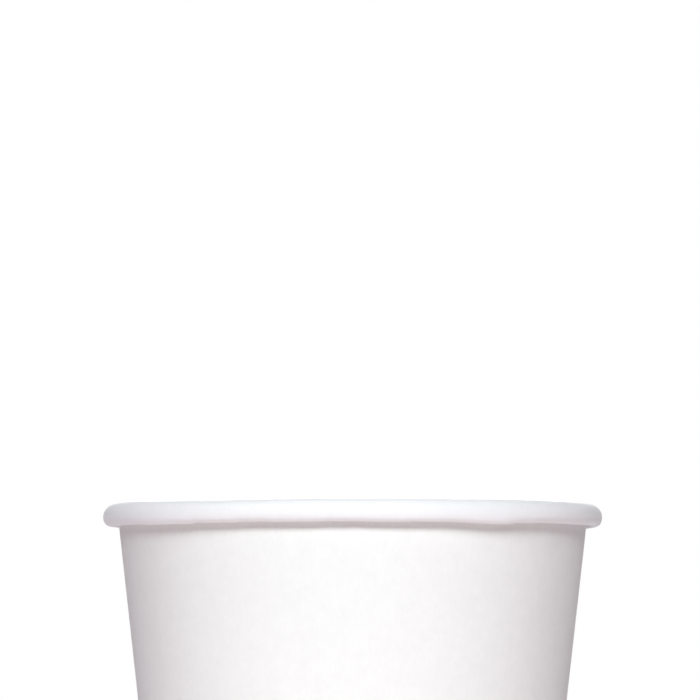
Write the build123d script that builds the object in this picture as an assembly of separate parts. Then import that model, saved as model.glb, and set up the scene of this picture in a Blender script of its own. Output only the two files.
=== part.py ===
from build123d import *
from math import atan2, cos, degrees, radians, sin
import os

# Round paper food container: a wrapped board wall with a rolled rim, and a board base sealed into its foot.
# Millimetres. The origin is the centre of the foot, on the surface that the container stands on.
# Z is the axis of the container. The lapped seam of the wall faces +Y, the back.

# Driving sizes of the container
height = 60.0
rim_diameter = 96.0
foot_diameter = 77.2

# Board thicknesses, with their coating
wall_board = 0.42
base_board = 0.38

# Rolled rim: its height, how far it stands out from the wall, and how it bends
bead_height = 4.05
bead_overhang = 3.03
lip_inner_radius = 0.60
shoulder_radius = 2.15
belly_radius = 1.55
crown_rise_angle = 8.0
crown_fall_angle = 20.0
belly_angle = 72.0
tuck_inner_radius = 0.42
tuck_gap = 0.45
tail_length = 0.8

# Foot: the wall folds inward and up, round the skirt of the base
hem_height = 5.8
fold_inner_radius = 0.07

# Base: a flat floor held above the table by its turned-down skirt
recess_depth = 7.0
skirt_bend_inner_radius = 0.5
skirt_lift = 0.15
seal_film = 0.02

# Side seam: the end of the blank laps over its start, pressed in a little
seam_direction = 90.0
lap_width = 8.0
ramp_width = 2.0
lap_step = 0.36
notch_height = 1.5


class BoardPath:
    """The middle line of a bent board in a plane through the axis, drawn as runs and bends.

    Where a second board lies over the first, it is moved over to the right of the line by the shift.
    """

    def __init__(self, r, z, heading, shift=0.0):
        self.place = (r, z, heading, shift)
        self.steps = []

    def run(self, length, shift=None):
        """Goes straight on, and changes the shift on the way where a new one is given."""
        r, z, heading, old_shift = self.place
        new_shift = old_shift if shift is None else shift
        end_r = r + length * cos(radians(heading))
        end_z = z + length * sin(radians(heading))
        self.add([(end_r, end_z, heading, new_shift)])

    def bend(self, radius, turn):
        """Turns on an arc, to the left where turn, in degrees, is positive."""
        r, z, heading, shift = self.place
        side = radius if turn > 0 else -radius
        centre_r = r - side * sin(radians(heading))
        centre_z = z + side * cos(radians(heading))
        places = []
        for angle in (heading + turn / 2, heading + turn):
            arc_r = centre_r + side * sin(radians(angle))
            arc_z = centre_z - side * cos(radians(angle))
            places.append((arc_r, arc_z, angle, shift))
        self.add(places)

    def add(self, places):
        """Goes on through these places."""
        self.steps.append([self.place, *places])
        self.place = places[-1]

    def edges_beside(self, left, shift_share):
        """The edges this far to the left of the line, moved right by a share of the shift."""
        edges = []
        for places in self.steps:
            points = [beside(place, left - shift_share * place[3]) for place in places]
            edges.append(ThreePointArc(*points) if len(points) == 3 else Line(*points))
        return edges

    def section(self, thickness, left_share=0.0, right_share=0.0):
        """The cut face of the board, with each of its sides moved over by a share of the shift."""
        left = self.edges_beside(thickness / 2, left_share)
        right = self.edges_beside(-thickness / 2, right_share)
        start_edge = Line(left[0] @ 0, right[0] @ 0)
        end_edge = Line(left[-1] @ 1, right[-1] @ 1)
        return make_face([start_edge, *left, end_edge, *right])


def beside(place, left):
    """The point this far to the left of a place on a path."""
    r, z, heading, _ = place
    return (r - left * sin(radians(heading)), 0, z + left * cos(radians(heading)))


def bend_reach(first, last):
    """How far a bend of radius 1 reaches in r and z, from one heading to another."""
    side = 1 if last > first else -1
    reach_r = side * (sin(radians(last)) - sin(radians(first)))
    reach_z = side * (cos(radians(first)) - cos(radians(last)))
    return reach_r, reach_z


# The straight wall leans out from the foot to the underside of the rim
rim_radius = rim_diameter / 2
foot_radius = foot_diameter / 2
bead_bottom = height - bead_height
wall_slope = (rim_radius - bead_overhang - foot_radius) / bead_bottom
wall_lean = degrees(atan2(wall_slope, 1))
wall_heading = 90 - wall_lean


def wall_radius(z, depth=0.0):
    """Radius of the outside of the wall at a height, or of what lies this deep under it."""
    return foot_radius + wall_slope * z - depth / cos(radians(wall_lean))


def up_the_wall(rise):
    """Length along the wall that gains this much height."""
    return rise / cos(radians(wall_lean))


def fold_path(path):
    """Runs from the top of the hem down to the foot and round the fold, notched flat at the lap."""
    half = wall_board / 2
    fold = fold_inner_radius + half
    down_r, down_z = bend_reach(wall_heading - 180, 0)
    up_r, up_z = bend_reach(0, wall_heading)
    hem_r, hem_z, _, _ = path.place
    hem_end = half - down_z * fold
    wall_start = half + up_z * fold
    hem_drop = hem_z - hem_end
    path.run(up_the_wall(hem_drop - notch_height))
    path.run(up_the_wall(notch_height), shift=0.0)
    path.bend(fold, 180 - wall_heading)
    path.run(wall_radius(wall_start, half) - path.place[0] - up_r * fold)
    path.bend(fold, wall_heading)
    path.run(up_the_wall(notch_height), shift=lap_step)


def rim_path(path):
    """Runs from the wall up over the rim, down its outside and under, to the tail by the wall."""
    half = wall_board / 2
    lip = lip_inner_radius + half
    shoulder = shoulder_radius - half
    lip_r, lip_z = bend_reach(wall_heading, crown_rise_angle)
    crown_r, _ = bend_reach(crown_rise_angle, -crown_fall_angle)
    shoulder_r, _ = bend_reach(-crown_fall_angle, -90)
    outermost = rim_radius - half
    top = height - half
    rise = 1 - cos(radians(crown_rise_angle))
    # The crown makes up the width that the lip and the shoulder leave
    crown_width = outermost - wall_radius(top - lip_z * lip, half) - lip_r * lip - shoulder_r * shoulder
    crown = crown_width / (crown_r - wall_slope * rise)
    wall_end = top - lip_z * lip - rise * crown
    path.run(up_the_wall(wall_end - path.place[1]))
    path.bend(lip, crown_rise_angle - wall_heading)
    path.bend(crown, -crown_fall_angle - crown_rise_angle)
    path.bend(shoulder, crown_fall_angle - 90)

    belly = belly_radius - half
    tuck = tuck_inner_radius + half
    bottom = bead_bottom + half
    belly_r, belly_z = bend_reach(-90, -90 - belly_angle)
    under_r, under_z = bend_reach(-90 - belly_angle, -180)
    tuck_r, tuck_z = bend_reach(-180, wall_heading - 360)
    # The underside makes up the width that the belly and the tuck leave
    tail_radius = wall_radius(bottom + tuck_z * tuck, -half - tuck_gap)
    underside = (tail_radius - outermost - belly_r * belly - tuck_r * tuck) / under_r
    path.run(path.place[1] - bottom + belly_z * belly + under_z * underside)
    path.bend(belly, -belly_angle)
    path.bend(underside, belly_angle - 90)
    path.bend(tuck, wall_heading - 180)
    path.run(tail_length)


def wall_path():
    """The wall blank cut along the axis, from the end of its hem to the end of its rolled rim."""
    hem_depth = 1.5 * wall_board + base_board + 2 * seal_film
    hem_radius = wall_radius(hem_height, hem_depth)
    path = BoardPath(hem_radius, hem_height, wall_heading - 180, lap_step)
    fold_path(path)
    rim_path(path)
    return path


def base_path():
    """Half of the base cut along its axis: the floor, its bend and the skirt."""
    half = base_board / 2
    bend = skirt_bend_inner_radius + half
    skirt_heading = wall_heading - 180
    bend_r, bend_z = bend_reach(0, skirt_heading)
    floor = recess_depth + half
    skirt_top = floor + bend_z * bend
    skirt_bottom = wall_board + skirt_lift
    skirt_radius = wall_radius(skirt_top, wall_board + seal_film + half)
    path = BoardPath(0, floor, 0)
    path.run(skirt_radius - bend_r * bend)
    path.bend(bend, skirt_heading)
    path.run(up_the_wall(skirt_top - skirt_bottom))
    return path


def turned(shape, angle):
    """The shape turned about the axis of the container."""
    return Rot(0, 0, angle) * shape


def make_sidewall():
    """The wrapped wall: once round, a ramp up onto its start, and the lap."""
    path = wall_path()
    single = path.section(wall_board)
    lifted = path.section(wall_board, left_share=1.0, right_share=1.0)
    doubled = path.section(wall_board, right_share=1.0)
    seam_radius = rim_radius - bead_overhang
    lap_angle = degrees(lap_width / seam_radius)
    ramp_angle = degrees(ramp_width / seam_radius)
    lap = revolve(doubled, Axis.Z, lap_angle)
    once_round = revolve(turned(single, lap_angle), Axis.Z, 360 - lap_angle - ramp_angle)
    ramp = loft([turned(single, -ramp_angle), lifted], ruled=True)
    return turned(lap + once_round + ramp, seam_direction - lap_angle / 2)


def make_base_disc():
    """The base, one disc with its edge turned down all round."""
    return revolve(base_path().section(base_board), Axis.Z)


os.makedirs("parts", exist_ok=True)
export_step(make_sidewall(), "parts/sidewall.step")
export_step(make_base_disc(), "parts/base_disc.step")
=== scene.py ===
"""Looks of the round paper food container: its wrapped board wall, its base and the studio round it.

The container's sizes are written in millimetres and turned into metres where its meshes are made. The
studio's sizes and places are in metres. The container stands on the floor at the origin, its lapped seam
faces +Y, and the camera looks along +Y.
"""

import logging
import math
from dataclasses import dataclass, field
from enum import Enum
from typing import Any, Sequence

import bmesh
import bpy
import numpy as np
from mathutils import Matrix, Vector


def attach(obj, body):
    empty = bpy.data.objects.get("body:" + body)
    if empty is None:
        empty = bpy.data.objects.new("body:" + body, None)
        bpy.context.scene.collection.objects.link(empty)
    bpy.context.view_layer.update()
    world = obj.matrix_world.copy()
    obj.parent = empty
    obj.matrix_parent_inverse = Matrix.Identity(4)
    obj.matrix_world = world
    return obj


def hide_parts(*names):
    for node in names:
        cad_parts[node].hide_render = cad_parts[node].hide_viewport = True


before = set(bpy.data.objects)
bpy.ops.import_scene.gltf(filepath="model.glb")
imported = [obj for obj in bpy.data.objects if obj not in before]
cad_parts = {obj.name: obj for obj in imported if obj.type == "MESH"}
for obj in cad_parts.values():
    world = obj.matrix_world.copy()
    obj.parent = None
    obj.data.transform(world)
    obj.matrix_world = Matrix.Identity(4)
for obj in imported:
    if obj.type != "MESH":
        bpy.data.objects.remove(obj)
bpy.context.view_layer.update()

log = logging.getLogger("food_container")

Colour = tuple[float, float, float]
# Two values between which a smooth step climbs from 0 to 1, of which the first may be the larger one
Span = tuple[float, float]

MM = 0.001
WHITE: Colour = (1.0, 1.0, 1.0)
# Corners of the base's mesh that lie closer than this are one corner, in metres
MERGE_DISTANCE = 1e-7

# The colour sockets of a Mix node, which share their names with its other sockets
MIX_SHARE, MIX_FIRST, MIX_SECOND, MIX_RESULT = 0, 6, 7, 2

# What all of the board's faces have in common
NOISE_ROUGHNESS = 0.55
CLOUD_DETAIL = 4.0
FIBRE_DETAIL = 3.0
WAVE_DETAIL = 1.0
FIBRE_STRETCH = Vector((1.0, 1.0, 0.45))
BOARD_IOR = 1.48
COAT_IOR = 1.5
COAT_ROUGHNESS = 0.28


class Face(Enum):
    """The faces of a board, in the order of their material slots."""

    COATED = 0
    OUTER = 1
    CUT = 2


class Bend(Enum):
    """Which way a board turns as it is followed along."""

    LEFT = 1
    RIGHT = -1

    @classmethod
    def of(cls, turn: float) -> "Bend":
        """The way of a turn, which is to the left where it is positive."""
        return cls.LEFT if turn > 0 else cls.RIGHT


# Shader nodes


def opaque(colour: Colour) -> tuple[float, float, float, float]:
    """The colour with its opacity, as a colour socket takes it."""
    return (*colour, 1.0)


class Signal:
    """An output socket that takes part in arithmetic, which adds Math nodes to its tree."""

    def __init__(self, sheet: "NodeSheet", socket: bpy.types.NodeSocket) -> None:
        """Wraps a socket.

        Args:
            sheet: The node tree's sheet, which makes the new nodes.
            socket: The output socket.
        """
        self.sheet = sheet
        self.socket = socket

    def combined(self, operation: str, first: Any, second: Any) -> "Signal":
        """Adds a Math node.

        Args:
            operation: The Math node's operation.
            first: Its first value, a number or a Signal.
            second: Its second value, a number or a Signal.

        Returns:
            The node's result.
        """
        return self.sheet.signal("ShaderNodeMath", {"operation": operation}, {0: first, 1: second})

    def __add__(self, other: Any) -> "Signal":
        """Sum."""
        return self.combined("ADD", self, other)

    def __radd__(self, other: Any) -> "Signal":
        """Sum, from the right."""
        return self.combined("ADD", other, self)

    def __sub__(self, other: Any) -> "Signal":
        """Difference."""
        return self.combined("SUBTRACT", self, other)

    def __rsub__(self, other: Any) -> "Signal":
        """Difference, from the right."""
        return self.combined("SUBTRACT", other, self)

    def __mul__(self, other: Any) -> "Signal":
        """Product."""
        return self.combined("MULTIPLY", self, other)

    def __rmul__(self, other: Any) -> "Signal":
        """Product, from the right."""
        return self.combined("MULTIPLY", other, self)

    def larger(self, other: Any) -> "Signal":
        """The larger of the two values."""
        return self.combined("MAXIMUM", self, other)


class NodeSheet:
    """The node tree of a material or of the world, emptied and filled anew."""

    def __init__(self, tree: bpy.types.NodeTree) -> None:
        """Empties the tree.

        Args:
            tree: The node tree to fill.
        """
        self.tree = tree
        self.tree.nodes.clear()

    def node(
        self,
        kind: str,
        settings: dict[str, Any] | None = None,
        sockets: dict[Any, Any] | None = None,
    ) -> bpy.types.Node:
        """Makes a node.

        Args:
            kind: The node's type.
            settings: Its properties, which are set first.
            sockets: Its inputs, by name or number: numbers, colours, Signals or other nodes' sockets.

        Returns:
            The new node.
        """
        node = self.tree.nodes.new(kind)
        for name, value in (settings or {}).items():
            setattr(node, name, value)
        for name, value in (sockets or {}).items():
            if isinstance(value, Signal):
                self.tree.links.new(value.socket, node.inputs[name])
            elif isinstance(value, bpy.types.NodeSocket):
                self.tree.links.new(value, node.inputs[name])
            else:
                node.inputs[name].default_value = value
        return node

    def signal(
        self,
        kind: str,
        settings: dict[str, Any] | None = None,
        sockets: dict[Any, Any] | None = None,
        output: Any = 0,
    ) -> Signal:
        """Makes a node and wraps one of its outputs.

        Args:
            kind: The node's type.
            settings: Its properties.
            sockets: Its inputs.
            output: The name or number of the output.

        Returns:
            The wrapped output.
        """
        return Signal(self, self.node(kind, settings, sockets).outputs[output])

    def noise(self, place: Signal, size: float, detail: float, stretch: Vector | None = None) -> Signal:
        """A cloudy pattern from 0 to 1.

        Args:
            place: The coordinates.
            size: The size of its clouds, in millimetres.
            detail: How many finer layers it has.
            stretch: How much the coordinates are multiplied along X, Y and Z.

        Returns:
            The pattern.
        """
        if stretch is not None:
            place = self.signal("ShaderNodeVectorMath", {"operation": "MULTIPLY"}, {0: place, 1: stretch})
        sockets = {
            "Vector": place,
            "Scale": 1 / (size * MM),
            "Detail": detail,
            "Roughness": NOISE_ROUGHNESS,
        }
        return self.signal("ShaderNodeTexNoise", {}, sockets, "Fac")

    def step(self, value: Signal, span: Span) -> Signal:
        """A smooth step from 0 to 1.

        Args:
            value: The value that makes it climb.
            span: The values at which it is 0 and 1.

        Returns:
            The step.
        """
        start, end = span
        sockets = {
            "Value": value,
            "From Min": min(span),
            "From Max": max(span),
            "To Min": float(start > end),
            "To Max": float(start < end),
        }
        return self.signal("ShaderNodeMapRange", {"interpolation_type": "SMOOTHSTEP"}, sockets)

    def mixed_colour(self, share: Signal, first: Colour, second: Colour) -> Signal:
        """Mixes two colours.

        Args:
            share: How much there is of the second colour.
            first: The first colour.
            second: The second colour.

        Returns:
            The mixed colour.
        """
        sockets = {MIX_SHARE: share, MIX_FIRST: opaque(first), MIX_SECOND: opaque(second)}
        return self.signal("ShaderNodeMix", {"data_type": "RGBA"}, sockets, MIX_RESULT)

    def mixed_shader(self, share: Signal, first: bpy.types.Node, second: bpy.types.Node) -> bpy.types.Node:
        """Mixes the shaders of two nodes.

        Args:
            share: How much there is of the second shader.
            first: The first shader's node.
            second: The second shader's node.

        Returns:
            The mixing node.
        """
        return self.node("ShaderNodeMixShader", {}, {0: share, 1: first.outputs[0], 2: second.outputs[0]})

    def seen_directly(self) -> Signal:
        """Whether a ray is the camera's own, a reflection or one through glass.

        Returns:
            1 for such rays, or else 0.
        """
        rays = self.node("ShaderNodeLightPath")
        camera = Signal(self, rays.outputs["Is Camera Ray"])
        glossy = Signal(self, rays.outputs["Is Glossy Ray"])
        through = Signal(self, rays.outputs["Is Transmission Ray"])
        return camera.larger(glossy).larger(through)


@dataclass(frozen=True)
class BoardFinish:
    """White paper board as it looks on one of its faces.

    Attributes:
        name: The material's name.
        pale: The colour where the board is lightest.
        deep: The colour in the darker clouds of its pulp.
        mottle: How strongly the clouds and fibres show, 1 where they are faint.
        roughness: The middle roughness.
        roughness_spread: How far the roughness goes up and down.
        shine: The specular level, 0.5 for a plain surface.
        coat_weight: How much clear coating lies on it.
        fibre_size: The size of the fibre pattern, in millimetres.
        fibre_depth: The depth of the fibre pattern, in millimetres.
        cloud_size: The size of the clouds in its pulp, in millimetres.
        cloud_depth: How far the clouds stand out, in millimetres.
        wave_size: The size of the board's gentle waves, in millimetres.
        wave_depth: The depth of the gentle waves, in millimetres.
    """

    name: str
    pale: Colour
    deep: Colour
    mottle: float
    roughness: float
    roughness_spread: float
    shine: float
    coat_weight: float
    fibre_size: float
    fibre_depth: float
    cloud_size: float
    cloud_depth: float
    wave_size: float
    wave_depth: float

    def material(self) -> bpy.types.Material:
        """Makes the material, or finds it if it has been made.

        Returns:
            The material.
        """
        found = bpy.data.materials.get(self.name)
        if found is not None:
            return found
        material = bpy.data.materials.new(self.name)
        material.use_nodes = True
        sheet = NodeSheet(material.node_tree)
        place = sheet.signal("ShaderNodeTexCoord", {}, {}, "Object")
        clouds = sheet.noise(place, self.cloud_size, CLOUD_DETAIL)
        fibres = sheet.noise(place, self.fibre_size, FIBRE_DETAIL, FIBRE_STRETCH)
        waves = sheet.noise(place, self.wave_size, WAVE_DETAIL)
        # Half clouds and half fibres, around 0
        grain = clouds * 0.5 + fibres * 0.5 - 0.5
        relief = fibres * (self.fibre_depth * MM) + clouds * (self.cloud_depth * MM)
        relief = relief + waves * (self.wave_depth * MM)
        bump = sheet.signal("ShaderNodeBump", {}, {"Height": relief, "Distance": 1.0, "Strength": 1.0})
        sockets = {
            "Base Color": sheet.mixed_colour(grain * self.mottle + 0.5, self.pale, self.deep),
            "Roughness": self.roughness + grain * (2.0 * self.roughness_spread),
            "Normal": bump,
            "IOR": BOARD_IOR,
            "Specular IOR Level": self.shine,
            "Coat Weight": self.coat_weight,
            "Coat Roughness": COAT_ROUGHNESS,
            "Coat IOR": COAT_IOR,
        }
        shader = sheet.node("ShaderNodeBsdfPrincipled", {}, sockets)
        sheet.node("ShaderNodeOutputMaterial", {}, {"Surface": shader.outputs[0]})
        return material


COATED_FACE = BoardFinish(
    name="coated_board",
    pale=(0.928, 0.922, 0.942),
    deep=(0.890, 0.883, 0.903),
    mottle=2.2,
    roughness=0.46,
    roughness_spread=0.05,
    shine=0.10,
    coat_weight=0.04,
    fibre_size=0.6,
    fibre_depth=0.009,
    cloud_size=2.4,
    cloud_depth=0.020,
    wave_size=16.0,
    wave_depth=0.03,
)
OUTER_FACE = BoardFinish(
    name="outer_board",
    pale=(0.908, 0.903, 0.900),
    deep=(0.866, 0.860, 0.857),
    mottle=2.7,
    roughness=0.62,
    roughness_spread=0.06,
    shine=0.06,
    coat_weight=0.0,
    fibre_size=0.6,
    fibre_depth=0.013,
    cloud_size=2.8,
    cloud_depth=0.030,
    wave_size=18.0,
    wave_depth=0.03,
)
# The cut edge's colours are partly the raw pulp's own cream and partly painted shade: they are darkened so
# that the seam's edge reads as the thin shadow line that a lapped seam casts.
SHADED_CUT_EDGE = BoardFinish(
    name="shaded_cut_board_edge",
    pale=(0.80, 0.78, 0.74),
    deep=(0.68, 0.65, 0.60),
    mottle=1.5,
    roughness=0.85,
    roughness_spread=0.05,
    shine=0.20,
    coat_weight=0.0,
    fibre_size=0.18,
    fibre_depth=0.03,
    cloud_size=1.0,
    cloud_depth=0.02,
    wave_size=4.0,
    wave_depth=0.02,
)
# In the order of Face
BOARD_FINISHES = (COATED_FACE, OUTER_FACE, SHADED_CUT_EDGE)


# The board and its path


@dataclass(frozen=True)
class Place:
    """A place on the middle line of a bent board, in a plane through the container's axis.

    Attributes:
        r: Its distance from the axis.
        z: Its height.
        heading: Which way the line goes there, in degrees.
        shift: How far a second board that lies over the first is moved over to the right.
    """

    r: float
    z: float
    heading: float
    shift: float

    def beside(self, left: float) -> tuple[float, float]:
        """The radius and the height of the point this far to the left."""
        angle = math.radians(self.heading)
        return self.r - left * math.sin(angle), self.z + left * math.cos(angle)


class BoardPath:
    """The middle line of a bent board, drawn as runs and bends and kept as a row of places."""

    def __init__(self, start: Place) -> None:
        """Starts the path.

        Args:
            start: The first place.
        """
        self.places = [start]

    @property
    def here(self) -> Place:
        """The last place."""
        return self.places[-1]

    def run(self, length: float, parts: int = 1, shift: float | None = None) -> None:
        """Goes straight on.

        Args:
            length: How far.
            parts: How many places it adds.
            shift: The shift at the end, where it changes on the way.
        """
        start = self.here
        end_shift = start.shift if shift is None else shift
        angle = math.radians(start.heading)
        for part in range(1, parts + 1):
            share = part / parts
            r = start.r + length * share * math.cos(angle)
            z = start.z + length * share * math.sin(angle)
            self.places.append(Place(r, z, start.heading, start.shift + (end_shift - start.shift) * share))

    def bend(self, radius: float, turn: float, parts: int) -> None:
        """Turns on an arc.

        Args:
            radius: The arc's radius.
            turn: How far it turns, in degrees, to the left where it is positive.
            parts: How many places it adds.
        """
        start = self.here
        side = radius * Bend.of(turn).value
        centre_r, centre_z = start.beside(side)
        for part in range(1, parts + 1):
            heading = start.heading + turn * part / parts
            angle = math.radians(heading)
            r = centre_r + side * math.sin(angle)
            z = centre_z - side * math.cos(angle)
            self.places.append(Place(r, z, heading, start.shift))


def bend_reach(first: float, last: float) -> tuple[float, float]:
    """How far a bend of radius 1 reaches in r and z.

    Args:
        first: Its first heading, in degrees.
        last: Its last heading.

    Returns:
        The reach in r and in z.
    """
    side = Bend.of(last - first).value
    reach_r = side * (math.sin(math.radians(last)) - math.sin(math.radians(first)))
    reach_z = side * (math.cos(math.radians(first)) - math.cos(math.radians(last)))
    return reach_r, reach_z


def eased(value: float | np.ndarray, start: float, end: float) -> float | np.ndarray:
    """A smooth step from 0 to 1.

    Args:
        value: Where it is asked for.
        start: Where the step starts.
        end: Where it ends, which may lie before the start.

    Returns:
        The step's height.
    """
    share = np.clip((value - start) / (end - start), 0.0, 1.0)
    return share * share * (3.0 - 2.0 * share)


def finished_object(name: str, mesh: bpy.types.Mesh) -> bpy.types.Object:
    """Puts a mesh of board in the scene with its materials.

    Args:
        name: The object's name.
        mesh: Its mesh.

    Returns:
        The object.
    """
    for finish in BOARD_FINISHES:
        mesh.materials.append(finish.material())
    made = bpy.data.objects.new(name, mesh)
    bpy.context.scene.collection.objects.link(made)
    return made


@dataclass
class ContainerSizes:
    """The sizes that the wall and the base share, in millimetres."""

    height: float = 60.0
    rim_diameter: float = 96.0
    foot_diameter: float = 77.2
    wall_board: float = 0.42
    base_board: float = 0.38
    bead_height: float = 4.05
    bead_overhang: float = 3.03
    seal_film: float = 0.02

    @property
    def wall_top_radius(self) -> float:
        """Radius of the wall's outside where the bead begins."""
        return self.rim_diameter / 2 - self.bead_overhang

    @property
    def slope(self) -> float:
        """How far the wall leans out per millimetre of height."""
        return (self.wall_top_radius - self.foot_diameter / 2) / (self.height - self.bead_height)

    @property
    def lean(self) -> float:
        """The wall's lean, in radians."""
        return math.atan(self.slope)

    @property
    def heading(self) -> float:
        """The wall's heading, in degrees."""
        return 90 - math.degrees(self.lean)

    def wall_radius(self, z: float, depth: float = 0.0) -> float:
        """Radius of the wall's outside at a height, or of what lies this deep under it."""
        return self.foot_diameter / 2 + self.slope * z - depth / math.cos(self.lean)

    def up_the_wall(self, rise: float) -> float:
        """Length along the wall that gains this much height."""
        return rise / math.cos(self.lean)


@dataclass(frozen=True)
class Stretch:
    """A stretch of the rim that lies a little higher or lower than the rest.

    Attributes:
        start: Where it starts, in degrees from the front, to the right as the camera sees it.
        end: Where it ends.
        ease: How many degrees it takes to rise at its start. It falls off in a third of that.
        rise: How much higher it lies, in millimetres.
    """

    start: float
    end: float
    ease: float
    rise: float

    def height(self, front: float) -> float:
        """How much higher the rim lies at a direction, in degrees from the front."""
        up = eased(front, self.start, self.start + self.ease)
        down = eased(front, self.end, self.end - self.ease / 3)
        return self.rise * float(up * down)


@dataclass(frozen=True)
class Ripple:
    """A wave that runs once round the container.

    Attributes:
        count: How many waves it has in one turn.
        start: How far the first one has come at +X, in radians.
        share: How high it is, as a share of the whole.
    """

    count: float
    start: float
    share: float

    def height(self, angle: float) -> float:
        """Its height at an angle, in radians from +X."""
        return math.sin(self.count * angle + self.start) * self.share


def summed(shapes: Sequence[Stretch | Ripple], angle: float) -> float:
    """The heights of several stretches or ripples at one angle, added up."""
    return sum(shape.height(angle) for shape in shapes)


@dataclass
class RolledWall:
    """The wrapped wall: its folded hem, its straight side, its rolled rim and its lapped seam.

    Sizes are in millimetres and angles in degrees. What is named below_top is counted down from the top.
    """

    sizes: ContainerSizes
    # The rolled rim, from the lip over the crown, shoulder and belly to the tail inside the roll
    lip_inner_radius: float = 0.60
    crown_rise_angle: float = 8.0
    crown_fall_angle: float = 20.0
    shoulder_radius: float = 2.15
    belly_radius: float = 1.55
    belly_angle: float = 72.0
    tuck_inner_radius: float = 0.42
    tuck_gap: float = 0.45
    tail_length: float = 0.8
    # The hem, which is folded in at the foot, and its knurl
    hem_height: float = 5.8
    fold_inner_radius: float = 0.07
    knurl_count: int = 144
    knurl_depth: float = 0.08
    knurl_top_margin: Span = (0.2, 1.0)
    knurl_foot_margin: Span = (0.5, 1.3)
    # The lapped seam, where the end of the blank climbs over its start
    seam_direction: float = 90.0
    lap_width: float = 8.0
    ramp_width: float = 2.0
    lap_step: float = 0.36
    notch_height: float = 1.5
    fold_shift: float = -0.02
    cut_slant: float = 0.24
    # The unevenness of soft board that was rolled and wrapped, where the stiff rim waves less
    wave_depth: float = 0.03
    wall_waves: tuple[Ripple, ...] = (Ripple(3.0, 0.6, 0.5), Ripple(5.0, 2.1, 0.3), Ripple(11.0, 4.0, 0.2))
    wall_wave_heights: Span = (12.0, 45.0)
    rim_wave: Ripple = Ripple(7.0, 1.0, 0.8)
    rim_below_top: Span = (8.0, 2.0)
    rim_stiffness: float = 0.6
    crimp_depth: float = 0.012
    crimps: tuple[Ripple, ...] = (Ripple(83.0, 0.0, 0.6), Ripple(131.0, 1.3, 0.4))
    crown_below_top: Span = (1.6, 0.4)
    crown_unevenness: tuple[Stretch, ...] = (
        Stretch(-84.0, -56.0, 10.0, 0.14),
        Stretch(-48.0, -18.0, 8.0, -0.07),
        Stretch(3.0, 24.0, 4.0, 0.10),
        Stretch(20.0, 82.0, 8.0, 0.15),
    )
    lower_edge_below_top: Span = (2.1, 3.6)
    lower_edge_unevenness: tuple[Stretch, ...] = (
        Stretch(-94.0, 50.0, 18.0, -0.21),
        Stretch(-60.0, -38.5, 5.0, -0.21),
        Stretch(-38.0, -27.0, 3.0, -0.09),
        Stretch(-22.0, -6.0, 5.0, -0.09),
        Stretch(1.0, 14.0, 5.0, -0.09),
        Stretch(22.0, 41.5, 14.0, -0.34),
        Stretch(74.0, 110.0, 12.0, -0.08),
    )
    # What counts as the bead: how far below the top it lies, and how far out from the wall beside it
    bead_below_top: Span = (5.0, 4.2)
    bead_middle_below_top: float = 3.0
    bead_reach: Span = (0.6, 1.8)
    # How many straight parts the stretches of the section have
    hem_parts: int = 5
    notch_parts: int = 2
    fold_parts: int = 5
    wall_parts: int = 18
    lip_parts: int = 7
    crown_parts: int = 4
    shoulder_parts: int = 8
    belly_parts: int = 8
    underside_parts: int = 3
    tuck_parts: int = 6
    # How many stations there are round the axis
    round_parts: int = 576
    ramp_parts: int = 6
    lap_parts: int = 16
    path: BoardPath = field(init=False)

    def __post_init__(self) -> None:
        """Draws the board's path from the top of the hem to the end of the rolled rim."""
        sizes = self.sizes
        hem_depth = 1.5 * sizes.wall_board + sizes.base_board + 2 * sizes.seal_film
        start_r = sizes.wall_radius(self.hem_height, hem_depth)
        self.path = BoardPath(Place(start_r, self.hem_height, sizes.heading - 180, self.lap_step))
        self.draw_fold()
        self.draw_rim_top()
        self.draw_rim_underside()

    @property
    def half_board(self) -> float:
        """Half the board's thickness."""
        return self.sizes.wall_board / 2

    @property
    def outermost(self) -> float:
        """Radius of the board's middle line where the rim is widest."""
        return self.sizes.rim_diameter / 2 - self.half_board

    def draw_fold(self) -> None:
        """Goes down the hem, round the fold at the foot and a little way up the wall."""
        sizes, path, half = self.sizes, self.path, self.half_board
        fold = self.fold_inner_radius + half
        _, down_z = bend_reach(sizes.heading - 180, 0)
        up_r, up_z = bend_reach(0, sizes.heading)
        hem_drop = self.hem_height - (half - down_z * fold)
        path.run(sizes.up_the_wall(hem_drop - self.notch_height), self.hem_parts)
        path.run(sizes.up_the_wall(self.notch_height), self.notch_parts, self.fold_shift)
        path.bend(fold, 180 - sizes.heading, self.fold_parts)
        path.run(sizes.wall_radius(half + up_z * fold, half) - path.here.r - up_r * fold)
        path.bend(fold, sizes.heading, self.fold_parts)
        path.run(sizes.up_the_wall(self.notch_height), self.notch_parts, self.lap_step)

    def draw_rim_top(self) -> None:
        """Goes up the wall, over the lip and the crown, and round the shoulder."""
        sizes, path, half = self.sizes, self.path, self.half_board
        lip = self.lip_inner_radius + half
        shoulder = self.shoulder_radius - half
        lip_r, lip_z = bend_reach(sizes.heading, self.crown_rise_angle)
        crown_r, _ = bend_reach(self.crown_rise_angle, -self.crown_fall_angle)
        shoulder_r, _ = bend_reach(-self.crown_fall_angle, -90)
        top = sizes.height - half
        rise = 1 - math.cos(math.radians(self.crown_rise_angle))
        wall_at_lip = sizes.wall_radius(top - lip_z * lip, half)
        crown_width = self.outermost - wall_at_lip - lip_r * lip - shoulder_r * shoulder
        crown = crown_width / (crown_r - sizes.slope * rise)
        wall_end = top - lip_z * lip - rise * crown
        path.run(sizes.up_the_wall(wall_end - path.here.z), self.wall_parts)
        path.bend(lip, self.crown_rise_angle - sizes.heading, self.lip_parts)
        path.bend(crown, -self.crown_fall_angle - self.crown_rise_angle, self.crown_parts)
        path.bend(shoulder, self.crown_fall_angle - 90, self.shoulder_parts)

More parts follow.
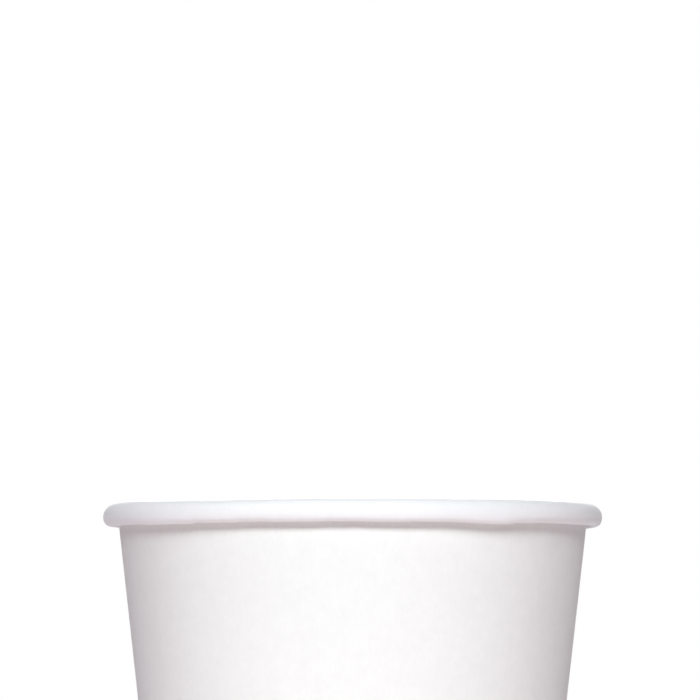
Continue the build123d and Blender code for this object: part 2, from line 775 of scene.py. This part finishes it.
    def draw_rim_underside(self) -> None:
        """Goes down the outside of the rim, round its belly and under, and up to the tail."""
        sizes, path, half = self.sizes, self.path, self.half_board
        belly = self.belly_radius - half
        tuck = self.tuck_inner_radius + half
        bottom = sizes.height - sizes.bead_height + half
        belly_r, belly_z = bend_reach(-90, -90 - self.belly_angle)
        under_r, under_z = bend_reach(-90 - self.belly_angle, -180)
        tuck_r, tuck_z = bend_reach(-180, sizes.heading - 360)
        tail = sizes.wall_radius(bottom + tuck_z * tuck, -half - self.tuck_gap)
        underside = (tail - self.outermost - belly_r * belly - tuck_r * tuck) / under_r
        path.run(path.here.z - bottom + belly_z * belly + under_z * underside)
        path.bend(belly, -self.belly_angle, self.belly_parts)
        path.bend(underside, self.belly_angle - 90, self.underside_parts)
        path.bend(tuck, sizes.heading - 180, self.tuck_parts)
        path.run(self.tail_length)

    def turns(self) -> tuple[np.ndarray, np.ndarray]:
        """The stations round the axis at which the board's section is placed.

        Returns:
            Their angles in radians from +X, and the share of the lap's shift at each.
        """
        lap = math.degrees(self.lap_width / self.sizes.wall_top_radius)
        ramp = math.degrees(self.ramp_width / self.sizes.wall_top_radius)
        once = np.linspace(0.0, 360.0 - ramp, self.round_parts, endpoint=False)
        climb = np.linspace(360.0 - ramp, 360.0, self.ramp_parts, endpoint=False)
        over = np.linspace(360.0, 360.0 + lap, self.lap_parts + 1)
        angles = np.concatenate([once, climb, over])
        share = np.clip((angles - 360.0 + ramp) / ramp, 0.0, 1.0)
        return np.radians(angles + self.seam_direction - lap / 2), share

    def vertices(self) -> np.ndarray:
        """Every vertex of the wall, in metres.

        Returns:
            An array of stations by section points by X, Y and Z. The section points follow the coated
            face from the hem to the tail, and then the outer face back to the hem.
        """
        angles, shares = self.turns()
        places, half = self.path.places, self.half_board
        count = len(places)
        rings = []
        for angle, share in zip(angles, shares):
            coated = [place.beside(half - share * place.shift) for place in places]
            outer = [place.beside(-half - share * place.shift) for place in places]
            ring = np.array(coated + outer[::-1])
            self.knurl(ring, angle)
            self.handle(ring, angle)
            angles_here = np.full(2 * count, angle)
            if angle == angles[0]:
                angles_here[:count] += self.cut_slant / ring[:count, 0]
            if angle == angles[-1]:
                angles_here[count:] -= self.cut_slant / ring[count:, 0]
            x = ring[:, 0] * np.cos(angles_here)
            y = ring[:, 0] * np.sin(angles_here)
            rings.append(np.stack([x, y, ring[:, 1]], axis=1))
        return np.array(rings) * MM

    def knurl(self, ring: np.ndarray, angle: float) -> None:
        """Presses upright grooves into the side of the hem that faces the recess.

        Args:
            ring: The section's radii and heights, which are changed.
            angle: The station's angle.
        """
        groove = 0.5 - 0.5 * math.cos(self.knurl_count * angle)
        # The outer face comes back to the hem's top at the end of the ring
        hem = ring[-(self.hem_parts + self.notch_parts):]
        z = hem[:, 1]
        reach = eased(self.hem_height - z, *self.knurl_top_margin) * eased(z, *self.knurl_foot_margin)
        hem[:, 0] += self.knurl_depth * groove * reach

    def handle(self, ring: np.ndarray, angle: float) -> None:
        """Gives the board the small unevenness of a rolled rim and a wrapped wall.

        Args:
            ring: The section's radii and heights, which are changed.
            angle: The station's angle.
        """
        r, z = ring[:, 0], ring[:, 1]
        below_top = self.sizes.height - z
        out = r - self.sizes.wall_radius(self.sizes.height - self.bead_middle_below_top)
        on_rim = eased(below_top, *self.rim_below_top)
        on_crown = eased(below_top, *self.crown_below_top)
        on_bead = eased(out, *self.bead_reach) * eased(below_top, *self.bead_below_top)
        on_lower_edge = eased(below_top, *self.lower_edge_below_top) * on_bead
        on_wall = eased(z, *self.wall_wave_heights) * (1.0 - self.rim_stiffness * on_rim)
        # Degrees from the front, to the right as the camera sees it
        front = (math.degrees(angle) + 90.0 + 180.0) % 360.0 - 180.0
        r += self.wave_depth * summed(self.wall_waves, angle) * on_wall
        z += self.wave_depth * self.rim_wave.height(angle) * on_rim
        z += self.crimp_depth * summed(self.crimps, angle) * on_lower_edge
        z += summed(self.lower_edge_unevenness, front) * on_lower_edge
        z += summed(self.crown_unevenness, front) * on_crown

    def mesh(self) -> bpy.types.Mesh:
        """Builds the wall's mesh, one closed strip from the start of the blank to its end.

        Returns:
            The mesh, whose faces carry the index of their kind's material slot.
        """
        points = self.vertices()
        stations, ring = points.shape[:2]
        count = len(self.path.places)
        faces: list[tuple[int, ...]] = []
        kinds: list[int] = []
        for corner in range(ring):
            following = (corner + 1) % ring
            if corner in (count - 1, ring - 1):
                kind = Face.CUT
            else:
                kind = Face.COATED if corner < count - 1 else Face.OUTER
            for station in range(stations - 1):
                here, there = station * ring, (station + 1) * ring
                faces.append((here + corner, here + following, there + following, there + corner))
                kinds.append(kind.value)
        for station, flip in ((0, False), (stations - 1, True)):
            here = station * ring
            for corner in range(count - 1):
                opposite = ring - 1 - corner
                quad = (here + corner, here + opposite, here + opposite - 1, here + corner + 1)
                faces.append(quad[::-1] if flip else quad)
                kinds.append(Face.CUT.value)
        mesh = bpy.data.meshes.new("wrapped_wall")
        mesh.from_pydata(points.reshape(-1, 3).tolist(), [], faces)
        mesh.polygons.foreach_set("material_index", kinds)
        mesh.polygons.foreach_set("use_smooth", [True] * len(faces))
        self.sharpen(mesh)
        mesh.validate()
        return mesh

    @staticmethod
    def sharpen(mesh: bpy.types.Mesh) -> None:
        """Marks the edges between two kinds of face as sharp, and turns the faces outward.

        Args:
            mesh: The mesh, which is changed.
        """
        shape = bmesh.new()
        shape.from_mesh(mesh)
        bmesh.ops.recalc_face_normals(shape, faces=shape.faces[:])
        for edge in shape.edges:
            edge.smooth = len({face.material_index for face in edge.link_faces}) == 1
        shape.to_mesh(mesh)
        shape.free()

    def build(self) -> bpy.types.Object:
        """Makes the wall and puts it in place of its solid.

        Returns:
            The wall.
        """
        wall = finished_object("wrapped_wall", self.mesh())
        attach(wall, "root")
        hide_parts("sidewall")
        return wall


@dataclass
class SealedBase:
    """The base: a slightly domed floor with a turned-down skirt, in millimetres."""

    sizes: ContainerSizes
    recess_depth: float = 7.0
    skirt_bend_inner_radius: float = 0.5
    skirt_lift: float = 0.15
    dome: float = 0.25
    dome_radii: Span = (36.0, 4.0)
    # Faces of the base that lie this near the skirt's end are its cut edge
    cut_edge_margin: float = 0.1
    # A face whose normal has at least this much of +Z looks up
    least_upward: float = 0.02
    floor_parts: int = 24
    bend_parts: int = 8
    skirt_parts: int = 4
    round_parts: int = 240

    def path(self) -> BoardPath:
        """The base's middle line from its centre to the end of its skirt.

        Returns:
            The path.
        """
        sizes = self.sizes
        half = sizes.base_board / 2
        bend = self.skirt_bend_inner_radius + half
        skirt_heading = sizes.heading - 180
        bend_r, bend_z = bend_reach(0, skirt_heading)
        floor = self.recess_depth + half
        skirt_top = floor + bend_z * bend
        skirt_bottom = sizes.wall_board + self.skirt_lift
        skirt_radius = sizes.wall_radius(skirt_top, sizes.wall_board + sizes.seal_film + half)
        path = BoardPath(Place(0.0, floor, 0.0, 0.0))
        path.run(skirt_radius - bend_r * bend, self.floor_parts)
        path.bend(bend, skirt_heading, self.bend_parts)
        path.run(sizes.up_the_wall(skirt_top - skirt_bottom), self.skirt_parts)
        return path

    def mesh(self) -> bpy.types.Mesh:
        """Builds the base's mesh by turning its section about the axis.

        Returns:
            The mesh.
        """
        half = self.sizes.base_board / 2
        places = self.path().places
        upper = [place.beside(half) for place in places]
        lower = [place.beside(-half) for place in places]
        shape = bmesh.new()
        corners = []
        for r, z in upper + lower[::-1]:
            rise = self.dome * float(eased(r, *self.dome_radii))
            corners.append(shape.verts.new((r * MM, 0.0, (z + rise) * MM)))
        edges = [shape.edges.new(pair) for pair in zip(corners, corners[1:])]
        bmesh.ops.spin(
            shape,
            geom=[*corners, *edges],
            cent=(0.0, 0.0, 0.0),
            axis=(0.0, 0.0, 1.0),
            angle=math.tau,
            steps=self.round_parts,
            use_merge=True,
        )
        bmesh.ops.remove_doubles(shape, verts=shape.verts[:], dist=MERGE_DISTANCE)
        bmesh.ops.recalc_face_normals(shape, faces=shape.faces[:])
        self.dress(shape)
        mesh = bpy.data.meshes.new("sealed_base")
        shape.to_mesh(mesh)
        shape.free()
        return mesh

    def dress(self, shape: bmesh.types.BMesh) -> None:
        """Gives each face of the base its kind.

        Args:
            shape: The base, which is changed.
        """
        edge_height = (self.sizes.wall_board + self.skirt_lift + self.cut_edge_margin) * MM
        for face in shape.faces:
            face.smooth = True
            if face.calc_center_median().z < edge_height:
                face.material_index = Face.CUT.value
            elif face.normal.z > self.least_upward or self.faces_out(face):
                face.material_index = Face.COATED.value
            else:
                face.material_index = Face.OUTER.value
        for edge in shape.edges:
            edge.smooth = len({face.material_index for face in edge.link_faces}) == 1

    @staticmethod
    def faces_out(face: bmesh.types.BMFace) -> bool:
        """Whether a face looks away from the axis."""
        centre = face.calc_center_median()
        return centre.x * face.normal.x + centre.y * face.normal.y > 0.0

    def build(self) -> bpy.types.Object:
        """Makes the base and puts it in place of its solid.

        Returns:
            The base.
        """
        base = finished_object("sealed_base", self.mesh())
        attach(base, "root")
        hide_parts("base_disc")
        return base


# The studio


@dataclass(frozen=True)
class SoftBox:
    """A large soft lamp that points at the container.

    Attributes:
        name: Its name.
        place: Where it hangs, in metres.
        width: Its width, in metres.
        height: Its height, in metres.
        power: Its power, in watts.
        colour: Its colour.
    """

    name: str
    place: tuple[float, float, float]
    width: float
    height: float
    power: float
    colour: Colour

    def build(self, aim: Vector) -> bpy.types.Object:
        """Hangs the lamp.

        Args:
            aim: The point that it faces.

        Returns:
            The lamp.
        """
        data = bpy.data.lights.new(self.name, "AREA")
        data.shape = "RECTANGLE"
        data.size = self.width
        data.size_y = self.height
        data.energy = self.power
        data.color = self.colour
        lamp = bpy.data.objects.new(self.name, data)
        lamp.location = self.place
        lamp.rotation_euler = (aim - Vector(self.place)).to_track_quat("-Z", "Y").to_euler()
        bpy.context.scene.collection.objects.link(lamp)
        return lamp


@dataclass
class Studio:
    """The pale floor, the white surroundings, the lamps and the camera, in metres and degrees."""

    floor_radius: float = 0.5
    floor_parts: int = 96
    floor_colour: Colour = (0.75, 0.70, 0.725)
    # The floor turns white with the distance from its middle, in two steps, the near one by this share
    near_haze_share: float = 0.42
    near_haze: Span = (0.034, 0.08)
    far_haze: Span = (0.09, 0.42)
    # The glow lies on the floor in front of the container, where Y is negative
    glow_colour: Colour = (1.0, 0.80, 0.73)
    glow_strength: float = 0.37
    glow_front: Span = (0.02, -0.08)
    glow_reach: Span = (0.44, 0.28)
    ambient_colour: Colour = (1.0, 0.95, 0.985)
    ambient_strength: float = 0.01
    aim_height: float = 0.035
    lamps: tuple[SoftBox, ...] = (
        SoftBox("front_softbox", (-0.03, -1.350, 0.910), 1.5, 0.4, 25.1, (0.925, 1.0, 0.992)),
        SoftBox("right_softbox", (0.844, -0.937, 1.035), 0.7, 0.5, 1.1, (1.0, 0.56, 0.82)),
        SoftBox("side_softbox", (-1.380, -0.121, 0.850), 0.7, 0.6, 1.1, (1.0, 0.64, 0.96)),
        SoftBox("back_softbox", (0.0, 1.483, 0.649), 0.3, 0.6, 12.5, (1.0, 0.955, 0.980)),
        SoftBox("top_softbox", (0.0, -0.25, 1.60), 0.8, 0.5, 1.6, (1.0, 0.93, 0.98)),
    )
    camera_distance: float = 1.050
    camera_height: float = 0.02865
    camera_pitch: float = 3.348
    camera_yaw: float = 0.0295
    camera_roll: float = 0.07
    camera_clip: tuple[float, float] = (0.05, 20.0)
    # The film's width in millimetres, and the focal length and the picture's width in pixels
    sensor_width: float = 36.0
    focal_pixels: float = 5448.0
    frame_pixels: float = 700.0

    def floor_material(self) -> bpy.types.Material:
        """Makes the floor's material, which fades to white and throws soft light up at the container.

        Returns:
            The material.
        """
        material = bpy.data.materials.new("studio_floor")
        material.use_nodes = True
        sheet = NodeSheet(material.node_tree)
        place = sheet.signal("ShaderNodeTexCoord", {}, {}, "Object")
        distance = sheet.signal("ShaderNodeVectorMath", {"operation": "LENGTH"}, {0: place}, "Value")
        near = sheet.step(distance, self.near_haze) * self.near_haze_share
        far = sheet.step(distance, self.far_haze) * (1.0 - self.near_haze_share)
        plain = sheet.node("ShaderNodeBsdfDiffuse", {}, {"Color": opaque(self.floor_colour)})
        glow = {"Color": opaque(self.glow_colour), "Strength": self.glow_strength}
        lamp = sheet.node("ShaderNodeEmission", {}, glow)
        lit = sheet.node("ShaderNodeAddShader", {}, {0: plain.outputs[0], 1: lamp.outputs[0]})
        depth = sheet.signal("ShaderNodeSeparateXYZ", {}, {0: place}, "Y")
        in_front = sheet.step(depth, self.glow_front) * sheet.step(distance, self.glow_reach)
        soft = sheet.signal("ShaderNodeLightPath", {}, {}, "Is Diffuse Ray")
        ground = sheet.mixed_shader(in_front * soft, plain, lit)
        white = sheet.node("ShaderNodeEmission", {}, {"Color": opaque(WHITE), "Strength": 1.0})
        mixed = sheet.mixed_shader((far + near) * sheet.seen_directly(), ground, white)
        sheet.node("ShaderNodeOutputMaterial", {}, {"Surface": mixed.outputs[0]})
        return material

    def build_floor(self) -> bpy.types.Object:
        """Lays the floor.

        Returns:
            The floor.
        """
        shape = bmesh.new()
        bmesh.ops.create_circle(shape, cap_ends=True, radius=self.floor_radius, segments=self.floor_parts)
        mesh = bpy.data.meshes.new("studio_floor")
        shape.to_mesh(mesh)
        shape.free()
        mesh.materials.append(self.floor_material())
        floor = bpy.data.objects.new("studio_floor", mesh)
        bpy.context.scene.collection.objects.link(floor)
        return floor

    def build_world(self) -> bpy.types.World:
        """Makes surroundings that look white and light the container softly.

        Returns:
            The world.
        """
        world = bpy.data.worlds.new("white_studio")
        world.use_nodes = True
        sheet = NodeSheet(world.node_tree)
        ambient = {"Color": opaque(self.ambient_colour), "Strength": self.ambient_strength}
        soft = sheet.node("ShaderNodeBackground", {}, ambient)
        white = sheet.node("ShaderNodeBackground", {}, {"Color": opaque(WHITE), "Strength": 1.0})
        mixed = sheet.mixed_shader(sheet.seen_directly(), soft, white)
        sheet.node("ShaderNodeOutputWorld", {}, {"Surface": mixed.outputs[0]})
        bpy.context.scene.world = world
        return world

    def build_camera(self) -> bpy.types.Object:
        """Sets up the camera, which looks slightly up at the rim from in front.

        Returns:
            The camera.
        """
        data = bpy.data.cameras.new("front_camera")
        data.sensor_width = self.sensor_width
        data.lens = self.focal_pixels / self.frame_pixels * self.sensor_width
        data.clip_start, data.clip_end = self.camera_clip
        camera = bpy.data.objects.new("front_camera", data)
        yaw = Matrix.Rotation(math.radians(self.camera_yaw), 4, "Z")
        pitch = Matrix.Rotation(math.radians(90.0 + self.camera_pitch), 4, "X")
        roll = Matrix.Rotation(math.radians(self.camera_roll), 4, "Z")
        place = Matrix.Translation((0.0, -self.camera_distance, self.camera_height))
        camera.matrix_world = place @ yaw @ pitch @ roll
        bpy.context.scene.collection.objects.link(camera)
        bpy.context.scene.camera = camera
        return camera

    def build(self) -> None:
        """Builds the whole studio."""
        self.build_floor()
        self.build_world()
        aim = Vector((0.0, 0.0, self.aim_height))
        for lamp in self.lamps:
            lamp.build(aim)
        self.build_camera()
        bpy.context.scene.view_settings.view_transform = "Standard"


def main() -> None:
    """Builds the container and its studio."""
    logging.basicConfig(level=logging.INFO)
    sizes = ContainerSizes()
    for part in (RolledWall(sizes), SealedBase(sizes)):
        made = part.build()
        log.info("%s: %d faces", made.name, len(made.data.polygons))
    Studio().build()


if __name__ == "__main__":
    main()
